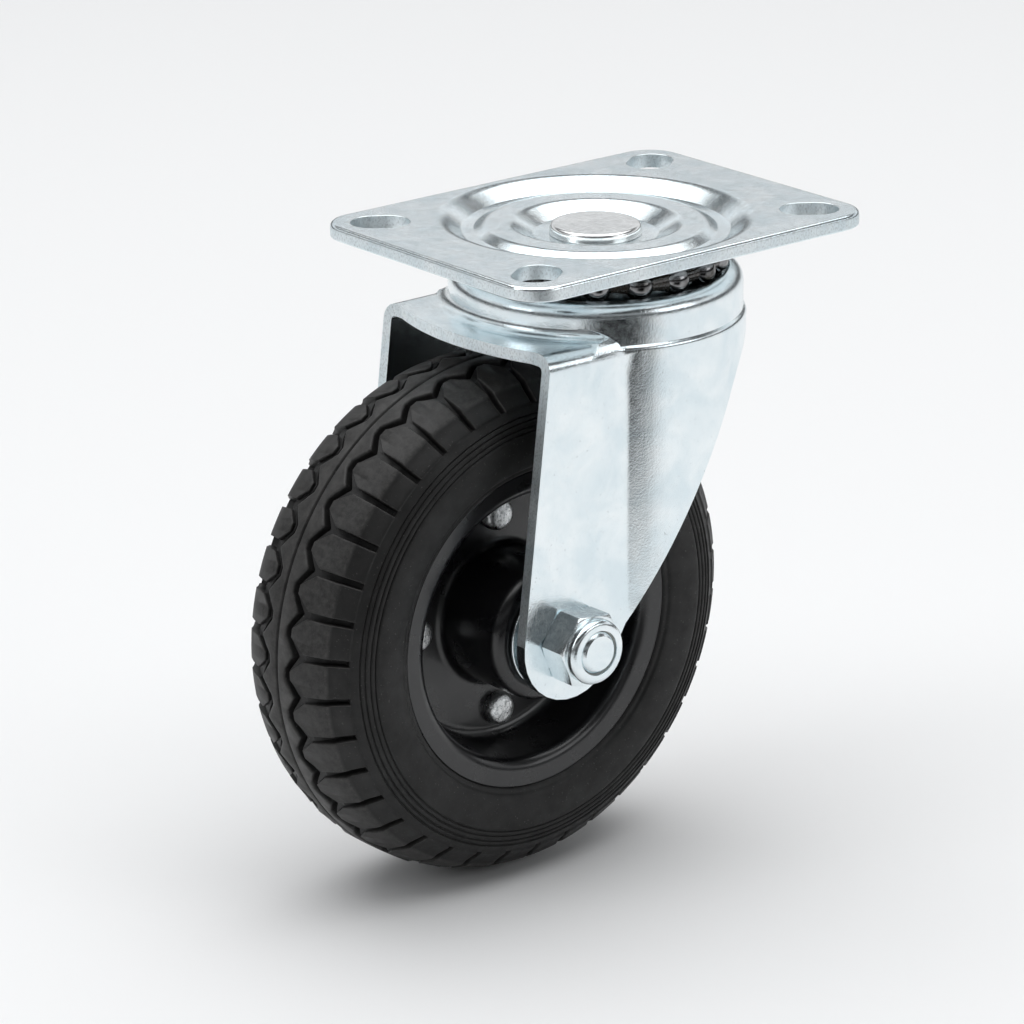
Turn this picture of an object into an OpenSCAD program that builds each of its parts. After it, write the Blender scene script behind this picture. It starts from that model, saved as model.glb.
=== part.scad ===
/* [Top plate] */
// Length of the plate, along the way the castor leads
plate_l = 84; // [80:1:96]
// Width of the plate
plate_w = 63; // [61:1:76]
// Thickness of the plate's sheet
plate_t = 2.8; // [2.4:0.1:3.2]
// Radius of the plate's corners in plan
plate_corner_r = 7; // [5:0.5:9]
// Rounding of the plate's pressed edges
plate_edge_r = 0.8; // [0.3:0.1:1.1]
// Spacing of the fixing slots along the plate
slot_spacing_l = 66.8; // [64:0.2:68]
// Spacing of the fixing slots across the plate
slot_spacing_w = 45.4; // [44.6:0.2:46.4]
// Width of a fixing slot
slot_w = 8.4; // [6.5:0.1:9]
// Length of a fixing slot, end to end
slot_l = 11.2; // [9.5:0.1:12]

/* [Pressed dish of the plate] */
// Radius where the dish's wall meets the top face
dish_r = 28.8; // [28.4:0.1:29.2]
// Width of the dish's sloping wall
dish_wall_w = 3.5; // [3.2:0.1:3.7]
// Depth of the ring groove at the wall's foot, below the top face
dish_depth = 2.4; // [2:0.1:2.8]
// Rounding of the dish's shoulder, where it leaves the top face
dish_shoulder_r = 4; // [3:0.5:5]
// Radius where the raised ring over the balls meets the groove
crown_foot_r = 22.9; // [22.6:0.1:23.2]
// Width of the raised ring's outer slope
crown_slope_w = 2; // [1.8:0.1:2.4]
// Height of the raised ring above the groove
crown_rise = 1.2; // [0.9:0.1:1.4]
// Rounding of the raised ring's outer shoulder
crown_shoulder_r = 2.5; // [1.5:0.5:3]
// Radius of the inner dip round the kingpin
dip_r = 16; // [15.4:0.1:16.4]
// Width of the inner dip's sloping wall
dip_wall_w = 4.2; // [3.8:0.1:4.5]
// Depth of the inner dip below the groove
dip_depth = 1; // [0.7:0.1:1.3]
// Rounding of the inner dip's shoulder
dip_shoulder_r = 3; // [2:0.5:3.5]

/* [Kingpin] */
// Radius of the kingpin's top head
kingpin_head_r = 8.7; // [8:0.1:10]
// Height of the kingpin's top head
kingpin_head_h = 2; // [1.8:0.1:2.8]
// Radius of the riveted necks at both ends
kingpin_neck_r = 6; // [5:0.1:6.6]
// Radius of the shoulder that spaces the two races
kingpin_shoulder_r = 7.6; // [7:0.1:8]
// Radius of the riveted lower head
kingpin_foot_r = 8.6; // [8:0.1:9.4]
// Height of the riveted lower head
kingpin_foot_h = 2.6; // [2:0.1:3]

/* [Upper ball race] */
// Radius of the large balls
upper_ball_r = 2.75; // [2.6:0.05:2.9]
// Radius of the ring on which the large balls run
upper_pitch_r = 22.4; // [21.5:0.1:23]
// Number of large balls
upper_ball_count = 18; // [12:1:20]

/* [Lower ball race] */
// Radius of the small balls
lower_ball_r = 2.35; // [2.1:0.05:2.5]
// Radius of the ring on which the small balls run
lower_pitch_r = 14.2; // [13.6:0.1:15]
// Number of small balls
lower_ball_count = 15; // [10:1:16]
// Thickness of the lower race's sheet
lower_race_t = 2; // [1.6:0.1:2.4]
// Outer radius of the lower race
lower_race_r = 19.4; // [18.8:0.1:20.5]
// Height of the lower race's upturned rim above its floor
lower_race_rim_h = 1.6; // [1:0.1:2]

/* [Race grooves] */
// Depth of a pressed groove in its sheet
groove_depth = 0.5; // [0.3:0.05:0.7]
// Clearance between a ball and its groove
ball_clear = 0.15; // [0.1:0.01:0.2]

/* [Fork] */
// Thickness of the fork's sheet
fork_t = 2.3; // [2.2:0.1:2.8]
// Width of the fork over its two legs
fork_w = 48.5; // [47.5:0.1:50]
// Radius of the fork's round hat
hat_r = 28.4; // [28:0.1:29]
// Height of the hat above the flat web behind it
hat_h = 6.7; // [6:0.1:7.4]
// Rounding of the hat's shoulder
hat_shoulder_r = 3; // [2.6:0.1:3.4]
// Height of the hat's rolled rim above its race floor
hat_rim_h = 0.7; // [0.4:0.1:1]
// Radius of the fork's hole round the kingpin
fork_hole_r = 9.2; // [9:0.1:10]
// Amount by which the front wall narrows towards the axle
flank_draft = 1; // [0.6:0.1:1.6]
// Depth of the line where the hat stands on the front wall, below the web's top face
crease_drop = 1.2; // [0.8:0.1:2]
// Width of the ledge at that line
crease_step = 0.6; // [0.3:0.1:0.9]
// Fillet between the hat and the web behind it
web_fillet_r = 2.2; // [1:0.1:2.8]
// Outer radius of the bend between web and legs
bend_r = 3.3; // [3:0.1:4.2]
// Reach of the web's rear edge behind the kingpin, at the middle
web_reach = 34.8; // [34:0.1:37]
// Radius of the web's rear edge in plan
web_edge_r = 57; // [50:1:80]
// Reach of a leg's rear edge behind the kingpin, at the web
leg_top_reach = 31.2; // [30:0.1:32]
// Radius of a leg's round end at the axle
leg_end_r = 11.2; // [10.6:0.1:12.4]
// Height of the front wall's lower edge below the web's top face
skirt_drop = 4; // [3:0.1:5]
// Distance ahead of the kingpin where the slanting edge meets the skirt
skirt_x = 17.4; // [16:0.1:19]
// Radius that blends the slanting edge into the skirt
skirt_r = 20; // [14:0.5:22]

/* [Wheel placing] */
// Trail of the axle behind the kingpin
trail = 26.7; // [26:0.1:28]
// Gap between the tread and the web's underside, at the axle
wheel_gap = 3.5; // [2.8:0.1:5]

/* [Tyre] */
// Outer radius of the tyre
tyre_r = 50; // [49.5:0.1:50.5]
// Greatest width of the tyre
tyre_w = 32.4; // [31.6:0.1:33.6]
// Number of tread lugs round each side
lug_count = 38; // [30:1:40]
// Width of the gap between neighbouring lugs
lug_gap_w = 2.6; // [1.8:0.1:2.9]
// Depth of the gap between neighbouring lugs
lug_gap_depth = 1.7; // [0.9:0.1:1.9]
// Width of the zigzag grooves, across the tyre
zigzag_w = 1.5; // [1:0.1:2]
// Depth of the zigzag grooves
zigzag_depth = 2; // [1.4:0.1:2.4]
// Distance of a zigzag's inner tips from the middle
zigzag_tip_y = 2.9; // [2.4:0.1:3.4]
// Distance of a zigzag's outer tips from the middle
zigzag_valley_y = 5.3; // [4.8:0.1:6]
// Turn of one side's tread against the other, in degrees
tread_shift = -2; // [-4:0.5:4]
// Depth of the fine rings on the sidewall
ring_depth = 0.45; // [0.3:0.05:0.6]

/* [Rim] */
// Thickness of the rim's sheet
rim_t = 2.2; // [1.8:0.1:2.4]
// Outer radius of the rim's flange
flange_r = 31.1; // [30.6:0.1:31.6]
// Distance of the flange's edge from the wheel's middle
flange_y = 14.6; // [14.2:0.1:15]
// Radius of the dish's mouth at the rolled lip
lip_r = 26.2; // [25.6:0.1:26.8]
// Radius of the flat web between hub and dish wall
rim_web_r = 24.8; // [24.2:0.1:25.2]
// Distance of the hub's end face from the wheel's middle
hub_y = 18.8; // [18.4:0.1:19.2]
// Radius of the hole in the hub's end face
hub_hole_r = 9; // [8.6:0.1:9.6]

/* [Rim rivets] */
// Number of rivets
rivet_count = 4; // [3:1:6]
// Radius of the ring on which the rivets sit
rivet_ring_r = 19.5; // [18.8:0.1:20]
// Radius of a rivet's shank
rivet_shank_r = 2.2; // [1.8:0.1:2.4]
// Radius of a rivet's heads
rivet_head_r = 3.2; // [2.8:0.1:3.4]
// Height of a rivet's heads
rivet_head_h = 2.3; // [1.6:0.1:2.6]

/* [Wheel bearings] */
// Outer radius of a bearing
bearing_r = 11; // [10.8:0.1:11.2]
// Width of a bearing
bearing_w = 7; // [6.4:0.1:7.6]
// Radius of a bearing's balls
bearing_ball_r = 1.98; // [1.8:0.02:2.1]
// Number of balls in a bearing
bearing_ball_count = 7; // [6:1:8]
// Depth of a bearing ring's groove in its land
bearing_groove = 1.1; // [0.9:0.05:1.2]
// Rounding of a bearing ring's edges
bearing_edge_r = 0.5; // [0.45:0.05:0.7]

/* [Axle] */
// Radius of the axle bolt
axle_r = 4; // [3.8:0.05:4.2]
// Width across flats of the bolt head and the nut
wrench_w = 13; // [12.6:0.1:13.4]
// Height of the bolt's head
bolt_head_h = 5.3; // [4.8:0.1:5.8]
// Height of the lock nut, with its collar
nut_h = 8; // [7.6:0.1:8.6]
// Height of the lock nut's rolled collar
nut_collar_h = 2; // [1.6:0.1:2.4]
// Length of the bolt that stands out of the nut
bolt_proud = 0.3; // [0.1:0.1:0.8]
// Radius of the disc on a spacer, in front of the hub
spacer_disc_r = 10.4; // [10:0.1:10.8]
// Thickness of the disc on a spacer
spacer_disc_t = 0.8; // [0.6:0.1:1]
// Radius of a spacer's end at the leg
spacer_end_r = 8; // [7:0.1:8.6]
// Radius of a spacer's nose at the bearing
spacer_nose_r = 5.6; // [5.3:0.1:5.9]

/* [Hidden] */

ZINC = "#c9d0d6";
STEEL = "#a9adb2";
BLACK_PAINT = "#1b1b1d";
RUBBER = "#262626";
NYLON = "#e8e6dc";

// Clearance of a bore round the piece that it holds
bore_clear = 0.05;
// Clearance between pieces that pass without touching
pass_clear = 0.3;
// Overshoot of cutting shapes past the face that they cut
cut = 1;
// Run of the flat face that is turned with the dish, past its edge
dish_run = 2.2;
// Inner radius of the bends at the foot of a pressed wall
foot_bend_r = 0.5;
// Rounding of the kingpin's top head, and of its riveted foot
head_edge_r = 0.8;
foot_edge_r = 0.9;
// Height and run of the fork's rolled rim, from the race floor to the hat's shoulder
roll_w = 1.6;
roll_h = 1.5;
// Chamfer at the end of the bolt
bolt_chamfer = 0.7;
// Wall of the nut's collar round its insert, and the rounding of its rolled edge
collar_wall = 0.9;
collar_roll_r = 1.1;
// Depth of the collar's mouth in front of the insert
mouth_depth = 0.7;
// Rounding of a rivet's heads
rivet_edge_r = 0.7;
// Inner radius of the rim's tight bends
rim_bend_in = 0.4;
// Steps of a rounded corner
corner_steps = 6;

// Heights of the stack under the plate, all below its top face
ring_floor_z = -dish_depth;
dip_floor_z = ring_floor_z - dip_depth;
ring_under_z = ring_floor_z - plate_t;
dip_under_z = dip_floor_z - plate_t;
upper_ball_z = ring_under_z + groove_depth - ball_clear - upper_ball_r;
race_floor_z = upper_ball_z - upper_ball_r - ball_clear + groove_depth;
hat_top_z = race_floor_z + hat_rim_h;
web_z = hat_top_z - hat_h;
race_under_z = race_floor_z - fork_t;
lower_ball_z = race_under_z + groove_depth - ball_clear - lower_ball_r;
lower_race_z = lower_ball_z - lower_ball_r - ball_clear + groove_depth;
lower_race_under_z = lower_race_z - lower_race_t;

// Places of the fork and the axle
fork_half = fork_w / 2;
leg_in = fork_half - fork_t;
axle_z = web_z - fork_t - wheel_gap - tyre_r;
skirt_z = web_z - skirt_drop;
axle_at = [-trail, axle_z];

// Places of the hub's pieces, measured from the wheel's middle
hub_in_y = hub_y - rim_t;
bearing_y = hub_in_y - bearing_w / 2;
bearing_pitch_r = (bearing_r + axle_r) / 2;
boss_r = bearing_r + bore_clear + rim_t;
disc_y = hub_y + pass_clear;
nut_y = fork_half + nut_h;
collar_y = -nut_y + nut_collar_h;
collar_r = wrench_w / 2 - pass_clear;
insert_y = collar_y + bore_clear;
insert_end_y = -nut_y + mouth_depth;
insert_r = collar_r - collar_wall;
land_gap = bearing_ball_r + ball_clear - bearing_groove;

// Places of the tread and of the sidewall
pitch_angle = 360 / lug_count;
shoulder_y = tyre_w / 2 - 4.2;
shoulder_r = tyre_r - 3.3;
lug_end_y = tyre_w / 2 - 1.7;
lug_end_r = tyre_r - 5.8;
half_w = tyre_w / 2;

function unit(v) = v / norm(v);
function flat(p) = [p[0], p[1]];
function left_of(d) = [-d[1], d[0]];

// Points of one corner: [x, y] or [x, y, radius], rounded by an arc
function corner(a, b, c) =
    (len(b) < 3 || b[2] <= 0) ? [flat(b)] :
    let (u = unit(flat(a) - flat(b)),
         v = unit(flat(c) - flat(b)),
         half = acos(max(-1, min(1, u * v))) / 2,
         middle = flat(b) + unit(u + v) * b[2] / sin(half),
         start = flat(b) + u * b[2] / tan(half) - middle,
         stop = flat(b) + v * b[2] / tan(half) - middle,
         from = atan2(start[1], start[0]),
         turn = (atan2(stop[1], stop[0]) - from + 540) % 360 - 180)
    [for (i = [0:corner_steps])
        middle + b[2] * [cos(from + turn * i / corner_steps), sin(from + turn * i / corner_steps)]];

// A closed outline, and an open line, with their corners rounded
function closed(p) = [for (i = [0:len(p) - 1])
    each corner(p[(i + len(p) - 1) % len(p)], p[i], p[(i + 1) % len(p)])];
function open(p) = [for (i = [0:len(p) - 1])
    each (i == 0 || i == len(p) - 1) ? [flat(p[i])] : corner(p[i - 1], p[i], p[i + 1])];

// The same line moved to its left by t, with its bends fitted round the same centres
function shifted(p, t) = [for (i = [0:len(p) - 1])
    let (before = i > 0 ? unit(flat(p[i]) - flat(p[i - 1])) : unit(flat(p[1]) - flat(p[0])),
         after = i < len(p) - 1 ? unit(flat(p[i + 1]) - flat(p[i])) : before,
         side = unit(left_of(before) + left_of(after)),
         place = flat(p[i]) + side * t / (side * left_of(before)),
         bend = sign(before[0] * after[1] - before[1] * after[0]),
         r = len(p[i]) > 2 ? max(0, p[i][2] - bend * t) : 0)
    [place[0], place[1], r]];
function backwards(p) = [for (i = [len(p) - 1:-1:0]) p[i]];

// The cut section of a sheet of thickness t to the left of a line
function sheet(p, t) = concat(open(p), backwards(open(shifted(p, t))));

// Point where a line from p touches a circle, on the side given by way
function touch(p, c, r, way) =
    let (d = p - c, a = atan2(d[1], d[0]) + way * acos(r / norm(d)))
    c + r * [cos(a), sin(a)];

// A turned piece about the vertical axis, and one about the wheel's axle
module turned(points) {
    rotate_extrude($fn = 96) polygon(points);
}
module turned_on_axle(points) {
    translate([-trail, 0, axle_z]) rotate([90, 0, 0]) mirror([0, 0, 1]) turned(points);
}
module on_far_side() {
    mirror([0, 1, 0]) children();
}
module side_profile(points, width) {
    rotate([90, 0, 0]) translate([0, 0, -width / 2]) linear_extrude(width) polygon(points);
}

// A slab with rounded corners in plan and rounded edges in section
function slab_edge(reach) = closed([[0, 0], [0, -plate_t],
    [reach, -plate_t, plate_edge_r / 2], [reach, 0, plate_edge_r]]);
module slab_strip(reach, len) {
    rotate([90, 0, 90]) translate([0, 0, -len / 2]) linear_extrude(len)
        polygon(slab_edge(reach));
}
module slab_bar(half, len) {
    slab_strip(half, len);
    rotate([0, 0, 180]) slab_strip(half, len);
}
module rounded_slab() {
    slab_bar(plate_w / 2, plate_l - 2 * plate_corner_r);
    rotate([0, 0, 90]) slab_bar(plate_l / 2, plate_w - 2 * plate_corner_r);
    for (sx = [-1, 1], sy = [-1, 1])
        translate([sx * (plate_l / 2 - plate_corner_r), sy * (plate_w / 2 - plate_corner_r), 0])
            turned(slab_edge(plate_corner_r));
}

// Upper face of the dish, from the kingpin outwards
dish_line = [
    [0, dip_floor_z],
    [dip_r - dip_wall_w, dip_floor_z, foot_bend_r],
    [dip_r, ring_floor_z + crown_rise, dip_shoulder_r],
    [crown_foot_r - crown_slope_w, ring_floor_z + crown_rise, crown_shoulder_r],
    [crown_foot_r, ring_floor_z, foot_bend_r],
    [dish_r - dish_wall_w, ring_floor_z, foot_bend_r],
    [dish_r, 0, dish_shoulder_r],
    [dish_r + dish_run, 0]];
module fixing_slots() {
    aim = atan2(slot_spacing_w, slot_spacing_l);
    half_run = (slot_l - slot_w) / 2;
    for (sx = [-1, 1], sy = [-1, 1])
        translate([sx * slot_spacing_l / 2, sy * slot_spacing_w / 2, -plate_t - cut])
            rotate([0, 0, sx * sy * aim]) {
                for (s = [-1, 1])
                    translate([s * half_run, 0, 0]) cylinder(r = slot_w / 2, h = plate_t + 2 * cut, $fn = 48);
                translate([-half_run, -slot_w / 2, 0]) cube([2 * half_run, slot_w, plate_t + 2 * cut]);
            }
}
module top_plate() {
    under_line = shifted(dish_line, -plate_t);
    color(ZINC) difference() {
        union() {
            rounded_slab();
            turned(concat([[0, -plate_t / 2]], open(under_line), [[dish_r + dish_run, -plate_t / 2]]));
        }
        turned(concat(open(dish_line), [[dish_r + dish_run, cut], [0, cut]]));
        fixing_slots();
        translate([0, 0, dip_under_z - cut])
            cylinder(r = kingpin_neck_r + bore_clear, h = plate_t + 2 * cut, $fn = 64);
        ball_groove(upper_pitch_r, upper_ball_z, upper_ball_r);
    }
}

// The groove that a ring of balls leaves in a sheet
module ball_groove(pitch_r, z, ball_r) {
    rotate_extrude($fn = 96) translate([pitch_r, z]) circle(r = ball_r + ball_clear, $fn = 48);
}
module ball_ring(pitch_r, z, ball_r, count) {
    for (i = [0:count - 1])
        rotate([0, 0, (i + 0.5) * 360 / count]) translate([pitch_r, 0, z]) sphere(r = ball_r, $fn = 32);
}

module kingpin() {
    head_top_z = dip_floor_z + kingpin_head_h;
    foot_z = lower_race_under_z - kingpin_foot_h;
    color(STEEL) turned(closed([
        [0, foot_z], [kingpin_foot_r, foot_z, foot_edge_r], [kingpin_foot_r, lower_race_under_z],
        [kingpin_neck_r, lower_race_under_z], [kingpin_neck_r, lower_race_z],
        [kingpin_shoulder_r, lower_race_z], [kingpin_shoulder_r, dip_under_z],
        [kingpin_neck_r, dip_under_z], [kingpin_neck_r, dip_floor_z],
        [kingpin_head_r, dip_floor_z], [kingpin_head_r, head_top_z, head_edge_r], [0, head_top_z]]));
}

module lower_race() {
    rim_z = lower_race_z + lower_race_rim_h;
    line = [
        [kingpin_neck_r + bore_clear, lower_race_z],
        [lower_race_r - lower_race_t, lower_race_z, foot_bend_r],
        [lower_race_r - lower_race_t, rim_z]];
    color(STEEL) difference() {
        turned(sheet(line, -lower_race_t));
        ball_groove(lower_pitch_r, lower_ball_z, lower_ball_r);
    }
}
module upper_balls() {
    color(STEEL) ball_ring(upper_pitch_r, upper_ball_z, upper_ball_r, upper_ball_count);
}
module lower_balls() {
    color(STEEL) ball_ring(lower_pitch_r, lower_ball_z, lower_ball_r, lower_ball_count);
}

// Outline of the fork's side, as it would be cut from the sheet
function fork_side() =
    let (web_rear = [-leg_top_reach, web_z + cut],
         corner_at = [skirt_x, skirt_z, skirt_r],
         rear_touch = touch(web_rear, axle_at, leg_end_r, 1),
         front_touch = touch([skirt_x, skirt_z], axle_at, leg_end_r, -1),
         a0 = atan2(rear_touch[1] - axle_z, rear_touch[0] + trail),
         a1 = atan2(front_touch[1] - axle_z, front_touch[0] + trail))
    concat([web_rear],
        [for (i = [0:12]) axle_at + leg_end_r * [cos(a0 + ((a1 - a0 + 360) % 360) * i / 12),
                                                 sin(a0 + ((a1 - a0 + 360) % 360) * i / 12)]],
        corner(front_touch, corner_at, [hat_r + cut, skirt_z]),
        [[hat_r + cut, skirt_z], [hat_r + cut, hat_top_z + cut], [-leg_top_reach, hat_top_z + cut]]);

// Section across the legs and the web, filled down to the floor
module channel(half, top_z, r) {
    reach = max(web_reach, trail + leg_end_r) + cut;
    rotate([90, 0, 90]) translate([0, 0, -reach]) linear_extrude(reach)
        polygon(closed([[-half, axle_z - 2 * leg_end_r], [half, axle_z - 2 * leg_end_r],
                        [half, top_z, r], [-half, top_z, r]]));
}
module fork() {
    low_z = axle_z - 2 * leg_end_r;
    rim_in_r = hat_r - fork_t;
    hat_wall_r = hat_r - crease_step;
    crease_z = web_z - crease_drop;
    color(ZINC) difference() {
        intersection() {
            union() {
                channel(fork_half, web_z, bend_r);
                turned(closed([[0, low_z], [hat_r - flank_draft, low_z],
                               [hat_r, crease_z - crease_step, 2 * crease_step],
                               [hat_wall_r, crease_z], [hat_wall_r, hat_top_z, hat_shoulder_r],
                               [0, hat_top_z]]));
                intersection() {
                    channel(fork_half, web_z + web_fillet_r, bend_r + web_fillet_r);
                    turned(closed([[0, web_z - bend_r], [hat_wall_r + web_fillet_r + bend_r, web_z - bend_r],
                                   [hat_wall_r + web_fillet_r, web_z], [hat_wall_r, web_z, web_fillet_r],
                                   [hat_wall_r, web_z + web_fillet_r + cut], [0, web_z + web_fillet_r + cut]]));
                }
            }
            union() {
                side_profile(fork_side(), fork_w + 20);
                translate([web_edge_r - web_reach, 0, web_z - fork_t])
                    cylinder(r = web_edge_r, h = hat_h + fork_t + cut, $fn = 128);
            }
        }
        channel(leg_in, web_z - fork_t, bend_r - fork_t);
        turned(closed([[0, low_z - cut], [rim_in_r - flank_draft, low_z - cut], [rim_in_r, web_z],
                       [rim_in_r, race_under_z, hat_shoulder_r / 2], [0, race_under_z]]));
        turned(closed([[0, race_floor_z], [rim_in_r - roll_w, race_floor_z, foot_bend_r],
                       [rim_in_r, race_floor_z + roll_h], [0, race_floor_z + roll_h]]));
        translate([0, 0, race_under_z - cut]) cylinder(r = fork_hole_r, h = fork_t + 2 * cut, $fn = 64);
        ball_groove(upper_pitch_r, upper_ball_z, upper_ball_r);
        ball_groove(lower_pitch_r, lower_ball_z, lower_ball_r);
        translate([-trail, 0, axle_z]) rotate([90, 0, 0])
            cylinder(r = axle_r + bore_clear, h = fork_w + 2 * cut, center = true, $fn = 64);
    }
}

// A hexagon of the wrench's size with its corners turned off at the ends that are asked for
module hex_body(y0, y1, chamfer0, chamfer1) {
    corner_r = wrench_w / sqrt(3);
    bevel = corner_r - wrench_w / 2;
    drop = bevel * 0.5;
    intersection() {
        translate([-trail, y0, axle_z]) rotate([-90, 0, 0]) rotate([0, 0, 7])
            cylinder(r = corner_r, h = y1 - y0, $fn = 6);
        turned_on_axle([[0, y0], [corner_r - chamfer0 * bevel, y0], [corner_r, y0 + chamfer0 * drop],
                        [corner_r, y1 - chamfer1 * drop], [corner_r - chamfer1 * bevel, y1], [0, y1]]);
    }
}
module axle_bolt() {
    end_y = -nut_y - bolt_proud;
    color(ZINC) union() {
        hex_body(fork_half, fork_half + bolt_head_h, 0, 1);
        turned_on_axle([[0, end_y], [axle_r - bolt_chamfer, end_y], [axle_r, end_y + bolt_chamfer],
                        [axle_r, fork_half + cut], [0, fork_half + cut]]);
    }
}
module lock_nut() {
    mouth_r = axle_r + pass_clear;
    color(ZINC) difference() {
        union() {
            hex_body(collar_y, -fork_half, 1, 1);
            turned_on_axle(closed([[0, collar_y + cut], [collar_r, collar_y + cut],
                                   [collar_r, -nut_y, collar_roll_r], [0, -nut_y]]));
        }
        turned_on_axle([[0, -nut_y - cut], [mouth_r, -nut_y - cut], [mouth_r, insert_end_y],
                        [insert_r, insert_end_y], [insert_r, insert_y],
                        [axle_r + bore_clear, insert_y], [axle_r + bore_clear, -fork_half + cut],
                        [0, -fork_half + cut]]);
    }
}
module nylon_insert() {
    color(NYLON) turned_on_axle([
        [axle_r + bore_clear, insert_y], [insert_r - bore_clear, insert_y],
        [insert_r - bore_clear, insert_end_y], [axle_r + bore_clear, insert_end_y]]);
}

// A turned spacer: its nose presses the bearing's inner ring, its end stands on the leg
module spacer() {
    color(ZINC) turned_on_axle([
        [axle_r + bore_clear, hub_in_y], [spacer_nose_r, hub_in_y], [spacer_nose_r, disc_y],
        [spacer_disc_r, disc_y], [spacer_disc_r, disc_y + spacer_disc_t],
        [spacer_end_r, disc_y + spacer_disc_t], [spacer_end_r, leg_in], [axle_r + bore_clear, leg_in]]);
}
module spacer_far() {
    spacer();
}
module spacer_near() {
    on_far_side() spacer();
}
module axle_sleeve() {
    half = hub_in_y - bearing_w;
    color(STEEL) turned_on_axle([
        [axle_r + bore_clear, -half], [spacer_nose_r, -half],
        [spacer_nose_r, half], [axle_r + bore_clear, half]]);
}

// Rings, balls and cage of one bearing, on the far side of the wheel
module bearing_ring(r0, r1) {
    color(STEEL) difference() {
        turned_on_axle(closed([
            [r0, hub_in_y - bearing_w, bearing_edge_r], [r1, hub_in_y - bearing_w, bearing_edge_r],
            [r1, hub_in_y, bearing_edge_r], [r0, hub_in_y, bearing_edge_r]]));
        translate([-trail, bearing_y, axle_z]) rotate([90, 0, 0])
            ball_groove(bearing_pitch_r, 0, bearing_ball_r);
    }
}
module inner_ring() {
    bearing_ring(axle_r + bore_clear, bearing_pitch_r - land_gap);
}
module outer_ring() {
    bearing_ring(bearing_pitch_r + land_gap, bearing_r);
}
module bearing_balls() {
    color(STEEL) translate([-trail, bearing_y, axle_z]) rotate([90, 0, 0])
        ball_ring(bearing_pitch_r, 0, bearing_ball_r, bearing_ball_count);
}
module cage() {
    color(STEEL) difference() {
        turned_on_axle([
            [bearing_pitch_r - 0.6, bearing_y], [bearing_pitch_r + 0.6, bearing_y],
            [bearing_pitch_r + 0.6, hub_in_y - 0.8], [bearing_pitch_r - 0.6, hub_in_y - 0.8]]);
        translate([-trail, bearing_y, axle_z]) rotate([90, 0, 0])
            ball_ring(bearing_pitch_r, 0, bearing_ball_r + 0.05, bearing_ball_count);
    }
}
module inner_ring_far() {
    inner_ring();
}
module inner_ring_near() {
    on_far_side() inner_ring();
}
module outer_ring_far() {
    outer_ring();
}
module outer_ring_near() {
    on_far_side() outer_ring();
}
module bearing_balls_far() {
    bearing_balls();
}
module bearing_balls_near() {
    on_far_side() bearing_balls();
}
module cage_far() {
    cage();
}
module cage_near() {
    on_far_side() cage();
}

// One pressed half of the rim, from the hub's hole out to the flange
rim_line = [
    [hub_hole_r, hub_y],
    [boss_r, hub_y, rim_t + rim_bend_in],
    [boss_r, rim_t, 1.6],
    [rim_web_r, rim_t, 2.4],
    [lip_r, flange_y - 0.4, rim_t + rim_bend_in],
    [flange_r, flange_y]];
module rim_half() {
    color(BLACK_PAINT) difference() {
        turned_on_axle(sheet(rim_line, -rim_t));
        translate([-trail, 0, axle_z]) rotate([90, 0, 0])
            for (i = [0:rivet_count - 1]) rotate([0, 0, i * 360 / rivet_count])
                translate([rivet_ring_r, 0, 0])
                    cylinder(r = rivet_shank_r + bore_clear, h = 4 * rim_t, center = true, $fn = 32);
    }
}
module rim_far() {
    rim_half();
}
module rim_near() {
    on_far_side() rim_half();
}
module rim_rivets() {
    top = rim_t + rivet_head_h;
    color(ZINC) translate([-trail, 0, axle_z]) rotate([90, 0, 0])
        for (i = [0:rivet_count - 1]) rotate([0, 0, i * 360 / rivet_count])
            translate([rivet_ring_r, 0, 0]) rotate_extrude($fn = 32) polygon(closed([
                [0, -top], [rivet_head_r, -top, rivet_edge_r], [rivet_head_r, -rim_t], [rivet_shank_r, -rim_t],
                [rivet_shank_r, rim_t], [rivet_head_r, rim_t], [rivet_head_r, top, rivet_edge_r], [0, top]]));
}

// Half of the tyre's section, from the crown's middle to the rim seat
function ring_groove(r, y, tilt) = [
    [y + tilt * 0.25, r + 0.25], [y - ring_depth, r + 0.05], [y - tilt * 0.25, r - 0.25]];
function tyre_half() =
    let (seat = shifted(rim_line, -rim_t - bore_clear),
         bead_r = seat[5][0] + bore_clear,
         lip = corner(seat[5], seat[4], seat[3]))
    concat(
        [[0, tyre_r - 0.8], [0.35, tyre_r]],
        [[shoulder_y - 6, tyre_r - 0.5], [shoulder_y - 2.4, tyre_r - 1.7], [shoulder_y, shoulder_r]],
        [[lug_end_y, lug_end_r + 0.4], [lug_end_y, lug_end_r]],
        [[half_w - 1.9, lug_end_r - 0.9]],
        ring_groove(lug_end_r - 1.9, half_w - 1.05, -0.5),
        ring_groove(lug_end_r - 2.8, half_w - 0.65, -0.35),
        ring_groove(lug_end_r - 3.8, half_w - 0.35, -0.2),
        ring_groove(lug_end_r - 4.7, half_w - 0.15, -0.1),
        [[half_w, lug_end_r - 6], [half_w, lug_end_r - 8.6], [half_w - 0.5, flange_r + 1.6],
         [flange_y + 0.35, flange_r + 0.7], [flange_y - 0.2, bead_r]],
        [[seat[5][1], bead_r], [lip[0][1], lip[0][0]], [lip[corner_steps][1], lip[corner_steps][0]],
         [0, seat[3][0]]]);
function tyre_section() = concat(
    [for (p = tyre_half()) [p[1], p[0]]],
    [for (p = backwards(tyre_half())) if (p[0] > 0) [p[1], -p[0]]]);

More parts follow.
